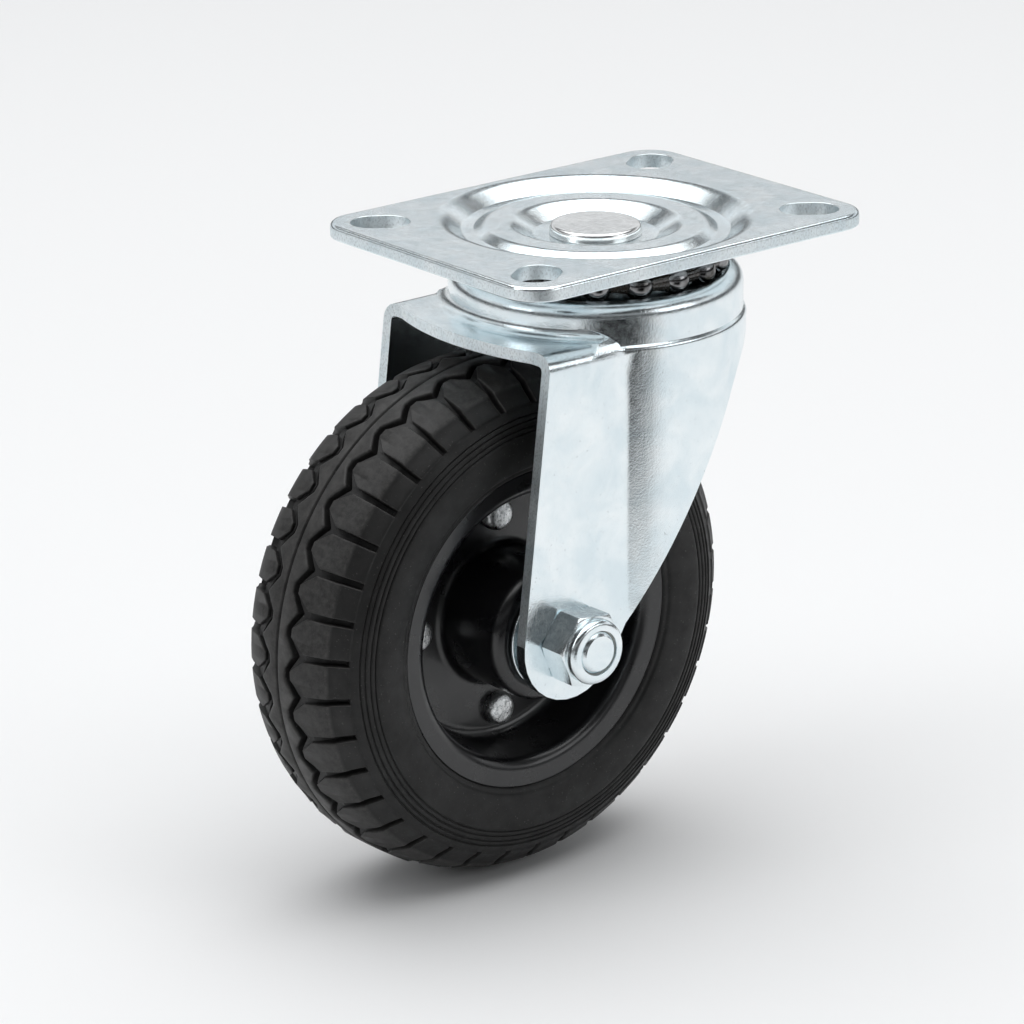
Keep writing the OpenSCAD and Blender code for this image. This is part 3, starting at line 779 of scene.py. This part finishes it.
@dataclass
class Tyre:
    """The rubber tyre: two zigzag grooves, lugs on both shoulders, rings on the sidewalls."""

    finishes: Finishes
    pattern: RoundPattern
    lugs: int = 38
    lug_r: float = 47.5
    first_tip: float = 152.0
    far_shift: float = -2.0
    shear_rows: int = 4
    tip_y: float = 2.75
    valley_y: float = 5.15
    tip_u: float = 0.10
    groove_w: float = 1.15
    groove_r: float = 48.0
    ledge_w: float = 0.35
    block_slope: float = 4.0
    gap_w: dict[Side, float] = field(default_factory=lambda: {Side.NEAR: 1.35, Side.FAR: 2.1})
    gap_depth: dict[Side, float] = field(default_factory=lambda: {Side.NEAR: 1.6, Side.FAR: 2.3})
    ledge_drop: dict[Side, float] = field(default_factory=lambda: {Side.NEAR: 0.5, Side.FAR: 0.8})
    weld_mm: float = 0.002

    def columns(self, side: Side) -> list[Point]:
        """The columns of one pitch, with the first again at its end.

        Args:
            side: the side of the wheel, as the gaps differ.

        Returns:
            For each column, its place in the pitch from 0 to 1 and how deep it lies in the gap.
        """
        wall = 0.5 - self.gap_w[side] / 2 / (2 * math.pi * self.lug_r / self.lugs)
        half = [(0.0, 0.0), (self.tip_u, 0.0), (0.18, 0.0), (0.28, 0.0), (0.36, 0.0), (wall - 0.024, 0.0),
                (wall - 0.010, 0.03), (wall - 0.003, 0.14), (wall + 0.004, 0.55), (wall + 0.012, 0.92),
                (wall + 0.024, 1.0), (0.48, 1.0)]
        return half + [(0.5, 1.0)] + [(1 - u, g) for u, g in reversed(half)]

    def section(self, u: float, gap: float, side: Side) -> list[Point]:
        """The tread's section at one place of the pitch, from the middle to the lug's end.

        Args:
            u: the place in the pitch; 0 is a zigzag's inner tip, 0.5 its outer one.
            gap: how deep the place lies in the gap between lugs, from 0 to 1.
            side: the side of the wheel.

        Returns:
            Points of (radius, distance from the middle).
        """
        drop, depth = self.ledge_drop[side], self.gap_depth[side]
        blunt, flat = 0.96, 0.85  # where the zigzag and the block's edge stop going outwards
        away = min(blunt, max(0.0, (min(u, 1 - u) - self.tip_u) / (0.5 - self.tip_u)))
        zig = self.tip_y + (self.valley_y - self.tip_y) * away
        w = self.groove_w / 2
        low, top = self.groove_r, self.crown
        edge, start = zig - w, zig + w
        rows = [(49.20, 0.0), (49.30, 0.16), (49.86, 0.30), (49.99, 0.48),
                (49.97, edge - 0.55), (49.92, edge - 0.20), (49.78, edge - 0.05), (49.40, edge + 0.03),
                (low + 0.25, edge + 0.12), (low, edge + 0.24), (low, start - 0.22), (low + 0.18, start - 0.10)]
        ledge = top(start) - drop
        block = max(start + self.ledge_w, self.tip_y + w + self.ledge_w + self.block_slope * min(away, flat))
        rows += [(ledge - 0.10, start - 0.02), (ledge, start + 0.10),
                 (top(block) - drop, block - 0.06),
                 (top(block) - drop + 0.55 * drop * (1 - gap), block),
                 (top(block) - 0.10 - gap * (drop - 0.10), block + 0.05),
                 (top(block) - 0.02 - gap * (drop - 0.02), block + 0.18)]
        shoulder = ((9.0, 48.44, 0.95, 0.3), (10.0, 47.96, 0.92, 0.4), (10.9, 47.50, 0.88, 0.47),
                    (11.15, 47.30, 0.80, 0.60), (11.6, 46.72, 0.76, 0.65), (11.85, 46.40, 0.76, 0.65),
                    (12.15, 46.10, 0.74, 0.67), (12.9, 45.40, 0.72, 0.69), (13.7, 44.68, 0.70, 0.71))
        deep_from, deep_over = 6.5, 4.0  # where a gap begins to deepen, and the width over which it does
        for y, r, normal_r, normal_y in shoulder:
            sunk = gap * (drop + (depth - drop) * smooth((y - deep_from) / deep_over))
            rows.append((r - sunk * normal_r, y - sunk * normal_y))
        fade = gap * self.gap_depth[Side.NEAR] * 0.6
        return rows + [(44.36 - fade * 0.7, 14.02 - fade * 0.7), (44.16 - fade * 0.4, 14.12 - fade * 0.5),
                       (43.98, 14.06 - fade * 0.1), (43.80, 14.10)]

    @staticmethod
    def crown(y: float) -> float:
        """The crown's radius.

        Args:
            y: the distance from the middle.

        Returns:
            The radius.
        """
        table = ((0, 50.0), (4, 49.82), (6.5, 49.30), (8, 48.86), (9, 48.44), (10, 47.96))
        for (y0, r0), (y1, r1) in zip(table, table[1:]):
            if y <= y1:
                return r0 + (r1 - r0) * (y - y0) / (y1 - y0)
        return table[-1][1]

    @staticmethod
    def sidewall() -> list[Point]:
        """The sidewall's section, from the lug's end to the middle of the rim seat.

        Returns:
            Points of (radius, distance from the middle).
        """
        rings = ((42.3, 15.10), (41.35, 15.42), (40.3, 15.68), (39.35, 15.86))
        step = ((0.30, -0.06), (0.20, -0.10), (0.06, -0.34), (-0.08, -0.34), (-0.22, 0.0), (-0.32, 0.05))
        seat = [(31.16, 14.30), (29.0, 13.0), (27.3, 12.0), (26.4, 10.0), (25.6, 5.0), (25.0, 2.2), (25.0, 0.0)]
        return [(43.3, 14.50), (42.85, 14.85)] + [(r + out, y + up) for r, y in rings for out, up in step] + [
            (38.5, 16.02), (37.0, 16.10), (35.2, 16.02), (33.9, 15.80), (33.0, 15.55), (32.55, 15.46),
            (32.35, 15.30), (32.2, 15.02), (31.95, 14.96), (31.6, 14.94), (31.30, 14.80)] + seat

    @staticmethod
    def painted_edge_highlight(row: int, gap: float) -> float:
        """Tells how much painted highlight a point gets: lighter lines on the grooves' and the lugs' edges and paler
        block tops, for the light their rounded edges catch.

        Args:
            row: the point's place in the section, counted from the middle.
            gap: how deep it lies in the gap between lugs, from 0 to 1.

        Returns:
            The painted highlight, from 0 to 1.
        """
        # Rows 3 to 6 are the rib's edge, 16 is the block's inner edge, 21 the shoulder's, up to 28 the lug's end.
        if row in (3, 4, 5, 6):
            return 0.55 if row < 5 else 0.7
        if 16 <= row <= 21 and gap < 0.1:
            return {16: 1.0, 21: 0.85}.get(row, 0.6)
        return 0.9 if 16 <= row < 29 and 0.02 < gap < 0.2 else 0.0

    @staticmethod
    def strip(a: list[int], b: list[int], at_a: list[int], at_b: list[int]) -> list[list[int]]:
        """The faces between two rows of points, one of which may have fewer.

        Args:
            a: the first row's points.
            b: the second row's points.
            at_a: the columns of the first row's points.
            at_b: the columns of the second row's points.

        Returns:
            The faces.
        """
        faces = []
        i = j = 0
        while i < len(a) - 1 or j < len(b) - 1:
            more_a, more_b = i < len(a) - 1, j < len(b) - 1
            if more_a and more_b and at_a[i + 1] == at_b[j + 1] and at_a[i] == at_b[j]:
                faces.append([a[i], a[i + 1], b[j + 1], b[j]])
                i, j = i + 1, j + 1
            elif not more_b or (more_a and at_a[i + 1] <= at_b[j + 1]):
                faces.append([a[i], a[i + 1], b[j]])
                i += 1
            else:
                faces.append([a[i], b[j + 1], b[j]])
                j += 1
        return faces

    def sector(self) -> bpy.types.Mesh:
        """Returns the mesh of one pitch, both sides, with few columns on the sidewalls."""
        columns = {side: self.columns(side) for side in Side}
        every = list(range(len(columns[Side.NEAR])))
        coarse = every[::4]
        wall = self.sidewall()
        pitch = 360 / self.lugs
        points: list[Place] = []
        # the painted highlight of each point, which the rubber's finish reads
        worn: list[float] = []
        faces: list[list[int]] = []
        shared: dict[int, list[int]] = {}  # the first and the last row, which both sides use
        for side in Side:
            sections = [self.section(u, gap, side) for u, gap in columns[side]]
            rows = [(line, every, min(1.0, k / self.shear_rows)) for k, line in enumerate(zip(*sections))]
            rows += [([spot] * len(every), coarse, 1 - k / (len(wall) - 1)) for k, spot in enumerate(wall)]
            last: list[int] = []
            last_picks = every
            for k, (line, picks, shear) in enumerate(rows):
                now = shared.get(k)
                if now is None:
                    now = list(range(len(points), len(points) + len(picks)))
                    for i in picks:
                        (near, gap), here = columns[Side.NEAR][i], columns[side][i][0]
                        turn = self.first_tip + pitch * (near + (here - near) * shear)
                        if side is Side.FAR:
                            turn += self.far_shift * shear
                        r, y = line[i]
                        points.append(about_axle(r, side.value * y, turn))
                        worn.append(self.painted_edge_highlight(k, gap))
                if k in (0, len(rows) - 1):
                    shared[k] = now
                if last:
                    faces += self.strip(last, now, last_picks, picks)
                last, last_picks = now, picks
        mesh = mesh_of(points, faces, "tyre_pitch", whole=False)
        mesh.attributes.new("painted_edge_highlight", "FLOAT", "POINT").data.foreach_set("value", worn)
        return mesh

    def build(self) -> None:
        """Makes the whole tyre from one pitch."""
        tyre = new_object("tyre_moulding", self.sector(), self.finishes.rubber)
        self.pattern.repeat(tyre, self.lugs, AXLE, self.finishes.rubber, self.weld_mm)
        outward(tyre.data)
        finish_mesh(tyre.data, EDGE_ANGLE)
        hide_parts("tyre")
        riding(tyre, Body.WHEEL, Slot.RUBBER)


# ---- the wheel's metal


@dataclass
class Rim:
    """The two pressed rim halves and the rivets that join them."""

    finishes: Finishes
    pattern: RoundPattern
    edge_mm: float = 0.25
    rivets: int = 4
    rivet_ring_r: float = 19.5
    web_y: float = 2.2
    head_r: float = 3.2
    head_h: float = 2.3
    shank_r: float = 2.2
    dented_h: float = 0.6
    dents: tuple[tuple[float, float, float, float], ...] = (
        (0.9, 0.6, 1.3, 0.08), (-1.1, 0.9, 1.1, 0.07), (-0.4, -1.3, 1.2, 0.09), (1.7, -1.0, 0.9, 0.07),
        (-2.1, -0.4, 0.9, 0.06), (0.2, 2.2, 0.9, 0.06), (0.1, 0.0, 0.7, 0.05))

    def rivet(self) -> bpy.types.Mesh:
        """Returns one rivet with both heads, its faces crushed in patches by the tool."""
        steps = 40
        web, top = self.web_y, self.web_y + self.head_h
        head = ((0.0, 0.0), (0.4, 0.0), (0.8, 0.01), (1.2, 0.02), (1.6, 0.05), (2.0, 0.09), (2.35, 0.16),
                (2.65, 0.30), (2.9, 0.52), (3.1, 0.9), (self.head_r, 1.3))
        half = [(r, top - down) for r, down in head] + [(self.head_r, web + 0.05), (self.shank_r, web)]

        def place(r: float, y: float, angle: float) -> Place:
            """Returns the point, sunk where the tool has dented the heads."""
            x, z = polar(r, angle)
            dent = 0.0
            if abs(y) > top - self.dented_h:
                dent = sum(deep * max(0.0, 1 - math.hypot(x - dent_x, z - dent_z) / wide) ** 1.5
                           for dent_x, dent_z, wide, deep in self.dents)
            return (AXLE[0] + self.rivet_ring_r + x, math.copysign(abs(y) - dent, y), AXLE[2] + z)

        return turned(half + [(r, -y) for r, y in reversed(half)], place, steps, "rivet")

    def build(self) -> None:
        """Makes the rim halves and the rivets."""
        for side in Side:
            tag = side.name.lower()
            softened(f"rim_{tag}", f"rim_half_{tag}", self.finishes.paint, self.edge_mm, Body.WHEEL, Slot.PAINT)
            dressed(f"outer_ring_{tag}", self.finishes.races)
        rivets = new_object("rim_rivet_set", self.rivet(), self.finishes.peened)
        self.pattern.repeat(rivets, self.rivets, AXLE, self.finishes.peened)
        finish_mesh(rivets.data, EDGE_ANGLE)
        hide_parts("rim_rivets")
        riding(rivets, Body.WHEEL, Slot.ZINC)


@dataclass
class WheelBearings:
    """The balls and cages of the two wheel bearings, and what they run on."""

    finishes: Finishes
    spacer_edge_mm: float = 0.25

    def build(self) -> None:
        """Dresses the CAD nodes, and makes the spacers beside them."""
        f = self.finishes
        for side in Side:
            tag = side.name.lower()
            dressed(f"inner_ring_{tag}", f.races)
            dressed(f"bearing_balls_{tag}", f.balls)
            dressed(f"cage_{tag}", f.races)
            softened(f"spacer_{tag}", f"spacer_ring_{tag}", f.zinc, self.spacer_edge_mm, Body.FORK, Slot.ZINC)
        dressed("axle_sleeve", f.races)


# ---- the swivel head


@dataclass
class SwivelHead:
    """The plate, the kingpin and the two ball races."""

    finishes: Finishes
    pattern: RoundPattern
    plate_edge_mm: float = 0.3
    pin_edge_mm: float = 0.2
    upper_ball_r: float = 2.75
    upper_pitch_r: float = 22.4
    upper_z: float = -7.6
    upper_count: int = 18
    grease_r: float = 1.5
    grease_width: float = 0.9

    @staticmethod
    def torn(centre: Vector, normal: Vector) -> float:
        """Returns how torn the plate's outline and the walls of its slots are."""
        outer = abs(centre.x) > 27 and abs(centre.y) > 15 or abs(centre.x) > 38 or abs(centre.y) > 29
        return 1.0 if outer and abs(normal.z) < 0.35 else 0.0

    def ball(self) -> bpy.types.Mesh:
        """Returns one large ball, at its place between two divisions of the ring."""
        steps, rows = 32, 16
        section = [polar(self.upper_ball_r, 180 * k / rows)[::-1] for k in range(rows + 1)]
        x, y, z = about_kingpin(self.upper_pitch_r, self.upper_z, 180 / self.upper_count)

        def place(r: float, h: float, angle: float) -> Place:
            """Returns the point, about the ball's centre."""
            along, across = polar(r, angle)
            return (x + along, y + across, z + h)

        return turned(section, place, steps, "ball")

    def grease(self) -> bpy.types.Mesh:
        """Returns a lumpy ring of grease along the balls' path."""
        around, across = 216, 12
        swell, lump, ripple = 0.14, 0.10, 0.06
        points, faces = [], []
        for i in range(around):
            a = 360 * i / around
            thick = 1 + swell * math.sin(a * 0.31) + lump * math.sin(math.radians(a * 7) + 1.0)
            for k in range(across):
                b = 2 * math.pi * k / across
                r = self.grease_r * thick * (1 + ripple * math.sin(3 * b + math.radians(5 * a)))
                points.append(about_kingpin(self.upper_pitch_r + r * math.cos(b) * self.grease_width,
                                            self.upper_z + r * math.sin(b), a))
                n, m = (i + 1) % around, (k + 1) % across
                faces.append([i * across + k, n * across + k, n * across + m, i * across + m])
        return mesh_of(points, faces, "grease_ring")

    def build(self) -> None:
        """Makes the plate, the kingpin, the races and the balls."""
        f = self.finishes
        softened("top_plate", "mounting_plate", f.zinc, self.plate_edge_mm, Body.PLATE, Slot.ZINC, self.torn)
        softened("kingpin", "kingpin_turning", f.pin, self.pin_edge_mm, Body.PLATE, Slot.STEEL)
        softened("lower_race", "lower_cup", f.races, self.pin_edge_mm, Body.PLATE, Slot.STEEL)
        balls = new_object("upper_ball_ring", self.ball(), f.balls)
        self.pattern.repeat(balls, self.upper_count, (0, 0, 0), f.balls)
        finish_mesh(balls.data, SMOOTH_ALL)
        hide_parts("upper_balls")
        riding(balls, Body.UPPER_RING, Slot.STEEL)
        grease = new_object("upper_grease", self.grease(), f.grease)
        finish_mesh(grease.data, SMOOTH_ALL)
        riding(grease, Body.UPPER_RING, Slot.STEEL)
        dressed("lower_balls", f.balls)


# ---- the fork and its bolt


@dataclass
class ForkAndBolt:
    """The fork, the axle bolt and the lock nut."""

    finishes: Finishes
    thread: ThreadSweep
    fork_edge_mm: float = 0.3
    bolt_edge_mm: float = 0.18
    nut_edge_mm: float = 0.2
    bolt_end_y: float = -32.55
    thread_pitch: float = 1.25
    thread_turns: float = 1.6
    thread_inset: float = 0.75

    @staticmethod
    def torn(centre: Vector, normal: Vector) -> float:
        """Tells how torn a face of the fork is, at the cut edges of the legs and of the web's front.

        Args:
            centre: the face's centre in millimetres.
            normal: its normal.

        Returns:
            The tearing, from 0 to 1.
        """
        if -30 < centre.z < -16.1 and centre.x < -14 and normal.x < -0.8:
            return 1.0
        leg = abs(centre.y) > 20.2 and abs(normal.y) < 0.2 and (centre.z < -30 or centre.x < -14)
        return 0.06 if leg else 0.0

    def thread_end(self) -> None:
        """Makes the last turns of the thread, which show in the nut's mouth."""
        obj = new_object("bolt_thread_end", bpy.data.meshes.new("thread"), self.finishes.zinc)
        lengths = {"Start Radius": 3.75, "End Radius": 3.95, "Height": self.thread_turns * self.thread_pitch,
                   "Crest Radius": 0.16}
        self.thread.run(obj, {
            "Turns": self.thread_turns, **{key: length * MM for key, length in lengths.items()},
            "Centre": [AXLE[0] * MM, (self.bolt_end_y + self.thread_inset) * MM, AXLE[2] * MM],
            "Turn": (-math.pi / 2, 0, 0), "Finish": self.finishes.zinc})
        finish_mesh(obj.data, THREAD_ANGLE)
        riding(obj, Body.FORK, Slot.ZINC)

    def build(self) -> None:
        """Makes the fork, the bolt with its thread's end, and the nut."""
        f = self.finishes
        softened("fork", "fork_pressing", f.zinc, self.fork_edge_mm, Body.FORK, Slot.ZINC, self.torn)
        softened("axle_bolt", "hex_bolt", f.zinc, self.bolt_edge_mm, Body.FORK, Slot.ZINC)
        softened("lock_nut", "lock_nut_body", f.zinc, self.nut_edge_mm, Body.FORK, Slot.ZINC)
        dressed("nylon_insert", f.nylon)
        self.thread_end()


# ---- studio


@dataclass(frozen=True)
class Lamp:
    """A soft rectangular lamp: place, aim and size in metres, and its power in watts."""

    name: str
    place: Place
    aim: Place
    size: Point
    power: float
    colour: Colour = (0.97, 0.985, 1.0)

    def build(self) -> None:
        """Adds the lamp."""
        data = bpy.data.lights.new(self.name, "AREA")
        data.shape = "RECTANGLE"
        data.size, data.size_y = self.size
        data.energy = self.power
        data.color = self.colour
        lamp = bpy.data.objects.new(self.name, data)
        way = Vector(self.aim) - Vector(self.place)
        lamp.matrix_world = Matrix.Translation(self.place) @ way.to_track_quat("-Z", "Y").to_matrix().to_4x4()
        bpy.context.scene.collection.objects.link(lamp)


@dataclass
class Studio:
    """The floor, the soft lights and the camera at the photograph's angle."""

    finishes: Finishes
    yaw: float = -0.6912
    pitch: float = 0.33337
    roll: float = -0.00513
    shift_right: float = -15.64748
    shift_up: float = -55.56305
    distance: float = 900.0
    focal_px: float = 4809.98
    frame_px: float = 1024.0
    sensor: float = 36.0
    floor_half: float = 6000.0
    sky: Colour = (0.965, 0.982, 1.0)
    tones: tuple[Point, ...] = ((0.0, 0.07), (0.17, 0.12), (0.27, 1.0), (0.40, 0.96), (0.49, 0.12),
                                (0.72, 0.12), (0.83, 1.4), (1.0, 1.5))
    behind: Place = (0.64, 0.77, 0.0)
    side: tuple[float, float, float, float] = (-0.6, 0.35, 0.3, 1.0)
    flag_angles: Point = (-73.0, -148.0)
    flag_reach: Place = (130.0, 310.0, 1500.0)
    flag_edge: float = 24.0
    flag_lift: float = 0.5
    lamps: tuple[Lamp, ...] = (
        Lamp("overhead", (0.10, 0.14, 1.2), (0.06, 0.08, -0.12), (1.9, 1.9), 14.4, (1, 1, 1)),
        Lamp("left_window", (-1.2, 0.25, 0.75), (0, 0, -0.06), (0.5, 0.9), 2.5),
        Lamp("right_window", (0.55, -1.2, 0.55), (0, 0, -0.06), (0.8, 0.55), 2.2))

    def camera(self) -> None:
        """Places the camera that was fitted to the photograph."""
        sy, cy = math.sin(self.yaw), math.cos(self.yaw)
        sp, cp = math.sin(self.pitch), math.cos(self.pitch)
        back = Vector((sy * cp, -cy * cp, sp))
        right = Vector((0, 0, 1)).cross(back).normalized()
        up = back.cross(right)
        c, s = math.cos(self.roll), math.sin(self.roll)
        right, up = c * right + s * up, -s * right + c * up
        place = right * self.shift_right + up * self.shift_up + back * self.distance
        turn = Matrix((right, up, back)).transposed().to_4x4()
        data = bpy.data.cameras.new("studio_camera")
        data.sensor_width = self.sensor
        data.lens = self.focal_px * self.sensor / self.frame_px
        data.clip_start, data.clip_end = 0.01, 50
        camera = bpy.data.objects.new("studio_camera", data)
        camera.matrix_world = Matrix.Translation(place * MM) @ turn
        bpy.context.scene.collection.objects.link(camera)
        bpy.context.scene.camera = camera

    def room(self) -> bpy.types.World:
        """Makes the room: a pale wall low behind, darkness round the soft light overhead and beside the camera.

        Returns:
            The world.
        """
        world = bpy.data.worlds.new("studio")
        world.use_nodes = True
        graph = Graph(world.node_tree)
        way = graph.node("ShaderNodeTexCoord").outputs["Generated"]
        height = graph.node("ShaderNodeSeparateXYZ", Vector=way).outputs["Z"]
        ramp = graph.node("ShaderNodeValToRGB")
        ramp.color_ramp.interpolation = "EASE"
        stops = ramp.color_ramp.elements
        stops[0].position, stops[1].position = self.tones[0][0], self.tones[-1][0]
        for place, _ in self.tones[1:-1]:
            stops.new(place)
        for stop, (_, grey) in zip(stops, self.tones):
            stop.color = (grey, grey, grey, 1)
        graph.join(height, ramp.inputs["Fac"])
        behind = graph.node("ShaderNodeVectorMath", "DOT_PRODUCT")
        behind.inputs[1].default_value = self.behind
        graph.join(way, behind.inputs[0])
        side = graph.spread(behind.outputs["Value"], *self.side)
        sky = world.node_tree.nodes["Background"]
        sky.inputs["Color"].default_value = (*self.sky, 1)
        graph.join(graph.math("MULTIPLY", ramp.outputs["Color"], side), sky.inputs["Strength"])
        return world

    def floor(self) -> None:
        """Lays the floor under the wheel."""
        half = self.floor_half
        spots = [(x, y, FLOOR_Z) for x, y in ((-half, -half), (half, -half), (half, half), (-half, half))]
        new_object("studio_floor", mesh_of(spots, [[0, 1, 2, 3]], "floor"), self.finishes.floor)

    def flag(self) -> None:
        """Lays a soft-edged black card on the floor beside the camera, which only shows in the bright metal."""
        steps, rows, crowding = 36, 16, 2.5
        (first, last), (near, black, far) = self.flag_angles, self.flag_reach
        points, faces, fade = [], [], []
        for i in range(steps + 1):
            turn = first + (last - first) * i / steps
            for k in range(rows + 1):
                r = near + (far - near) * (k / rows) ** crowding
                x, y = polar(r, turn)
                points.append((AXLE[0] + x, y, FLOOR_Z + self.flag_lift))
                ends = min(abs(turn - first), abs(turn - last)) / self.flag_edge
                fade.append(smooth(ends) * smooth((r - near) / (black - near)))
        for i in range(steps):
            for k in range(rows):
                j = i * (rows + 1) + k
                faces.append([j, j + 1, j + rows + 2, j + rows + 1])
        mesh = mesh_of(points, faces, "side_flag")
        mesh.attributes.new("fade", "FLOAT", "POINT").data.foreach_set("value", fade)
        card = new_object("side_flag", mesh, self.finishes.card)
        card.visible_camera = card.visible_diffuse = card.visible_shadow = False

    def build(self) -> None:
        """Makes the floor, the lights and the camera."""
        self.floor()
        self.flag()
        for lamp in self.lamps:
            lamp.build()
        scene = bpy.context.scene
        scene.world = self.room()
        scene.view_settings.view_transform = "Standard"
        scene.view_settings.look = "None"
        self.camera()


def main() -> None:
    """Builds the castor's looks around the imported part."""
    logging.basicConfig(level=logging.INFO, format="%(name)s: %(message)s")
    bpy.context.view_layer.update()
    finishes = Finishes()
    about_the_axle = RoundPattern("round_the_axle", "Y")
    about_the_kingpin = RoundPattern("round_the_kingpin", "Z")
    Tyre(finishes, about_the_axle).build()
    Rim(finishes, about_the_axle).build()
    WheelBearings(finishes).build()
    SwivelHead(finishes, about_the_kingpin).build()
    ForkAndBolt(finishes, ThreadSweep()).build()
    Studio(finishes).build()
    LOG.info("castor dressed")


if __name__ == "__main__":
    main()
